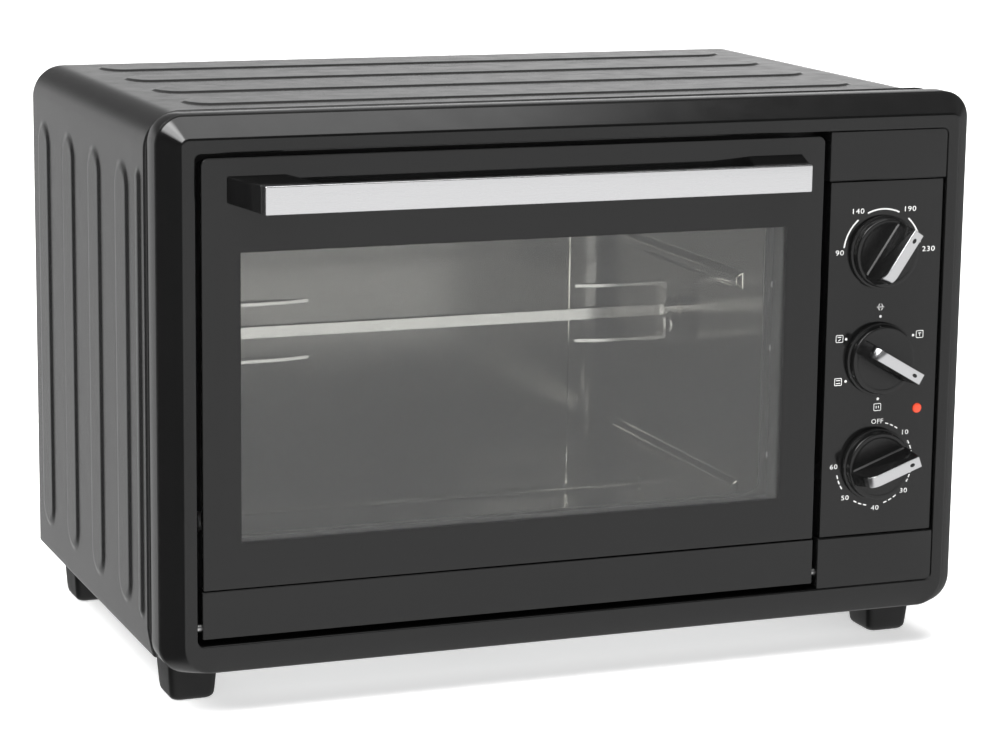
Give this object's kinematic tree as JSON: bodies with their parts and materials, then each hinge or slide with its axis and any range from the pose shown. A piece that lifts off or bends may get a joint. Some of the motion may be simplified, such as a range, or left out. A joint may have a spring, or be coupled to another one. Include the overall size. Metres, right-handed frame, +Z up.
{
  "type": "rotisserie oven",
  "caption": "Bench-top rotisserie oven with a drop-down glass door and bar handle, a motor-driven spit with meat forks, rotary controls and a ribbed sheet-metal casing.",
  "frame": {"origin": "on the worktop, under the centre of the bounding box", "axes": "+X to the user's right along the door, +Y from the user towards the back, +Z up"},
  "size_m": [0.52, 0.378, 0.352],
  "materials": {
    "casing_enamel": "semi-gloss black enamel",
    "galvanised": "plain galvanised sheet",
    "chassis_enamel": "black heat-resistant enamel",
    "moulded_black": "satin black moulding",
    "panel_black": "satin black with pale printing",
    "foot_black": "matte black",
    "aluminised_steel": "bright aluminised sheet",
    "printed_glass": "tempered glass with a black printed border",
    "handle_metal": "brushed and anodised",
    "chrome_trim": "bright",
    "spit_chrome": "bright plated steel",
    "plated_steel": "zinc plated",
    "heater_steel": "heat-darkened stainless tube",
    "white_ceramic": "matte steatite",
    "control_body": "dark moulding",
    "lens_orange": "clear orange-red",
    "lamp_glass": "neon lamp"
  },
  "bodies": {
    "housing": {"back_cover": "casing_enamel", "back_cover_screws": "plated_steel", "base_plate": "galvanised", "cavity_back_wall": "aluminised_steel", "cavity_floor": "aluminised_steel", "cavity_left_wall": "aluminised_steel", "cavity_right_wall": "aluminised_steel", "cavity_roof": "aluminised_steel", "control_panel": "panel_black", "cord_gland": "moulded_black", "foot_front_left": "foot_black", "foot_front_right": "foot_black", "foot_rear_left": "foot_black", "foot_rear_right": "foot_black", "foot_screws": "plated_steel", "front_bezel": "moulded_black", "front_plate": "chassis_enamel", "function_switch": "control_body", "heater_clips": "galvanised", "heater_insulators": "white_ceramic", "indicator_lamp": "lamp_glass", "indicator_lens": "lens_orange", "lower_heater": "heater_steel", "machine_screws": "plated_steel", "motor_bracket": "galvanised", "outer_shell": "casing_enamel", "panel_bottom_block": "moulded_black", "panel_top_block": "moulded_black", "rotisserie_motor": "plated_steel", "spit_support": "plated_steel", "terminal_block": "control_body", "thermostat": "control_body", "timer": "control_body", "timer_bell": "plated_steel", "upper_heater": "heater_steel"},
    "door": {"door_glass": "printed_glass", "door_frame": "chassis_enamel", "door_bottom_trim": "moulded_black", "hinge_pins": "plated_steel", "handle_bar": "handle_metal", "handle_bracket_left": "moulded_black", "handle_bracket_right": "moulded_black", "handle_screws": "plated_steel", "stay_rivets": "plated_steel"},
    "left_stay": {"door_stay_left": "plated_steel"},
    "right_stay": {"door_stay_right": "plated_steel"},
    "spit": {"drive_socket": "spit_chrome", "spit_rod": "spit_chrome", "fork_left": "spit_chrome", "fork_right": "spit_chrome", "fork_screws": "spit_chrome"},
    "temperature_dial": {"temperature_knob": "moulded_black", "temperature_knob_strip": "chrome_trim", "temperature_shaft": "plated_steel"},
    "function_dial": {"function_knob": "moulded_black", "function_knob_strip": "chrome_trim", "function_shaft": "plated_steel"},
    "timer_dial": {"timer_knob": "moulded_black", "timer_knob_strip": "chrome_trim", "timer_shaft": "plated_steel"}
  },
  "joints": [
    {"name": "door_hinge", "type": "hinge", "parent": "housing", "child": "door", "pos_m": [0, -0.147, 0.054], "axis": [1, 0, 0], "range_deg": [0, 90]},
    {"name": "left_stay_swing", "type": "hinge", "parent": "door", "child": "left_stay", "pos_m": [-0.23325, -0.133, 0.114], "axis": [1, 0, 0], "range_deg": [-45, 0]},
    {"name": "right_stay_swing", "type": "hinge", "parent": "door", "child": "right_stay", "pos_m": [0.15225, -0.133, 0.114], "axis": [1, 0, 0], "range_deg": [-45, 0]},
    {"name": "spit_spin", "type": "hinge", "parent": "housing", "child": "spit", "pos_m": [0, 0.002, 0.198], "axis": [1, 0, 0], "continuous": true},
    {"name": "temperature_turn", "type": "hinge", "parent": "housing", "child": "temperature_dial", "pos_m": [0.1975, -0.153, 0.2555], "axis": [0, -1, 0], "range_deg": [-61, 144]},
    {"name": "function_turn", "type": "hinge", "parent": "housing", "child": "function_dial", "pos_m": [0.1975, -0.153, 0.1885], "axis": [0, -1, 0], "range_deg": [-180, 120]},
    {"name": "timer_turn", "type": "hinge", "parent": "housing", "child": "timer_dial", "pos_m": [0.1975, -0.153, 0.1215], "axis": [0, -1, 0], "range_deg": [-200, 70]}
  ],
  "couplings": [
    {"joint": "left_stay_swing", "follows": "door_hinge", "ratio": -0.5},
    {"joint": "right_stay_swing", "follows": "door_hinge", "ratio": -0.5}
  ]
}
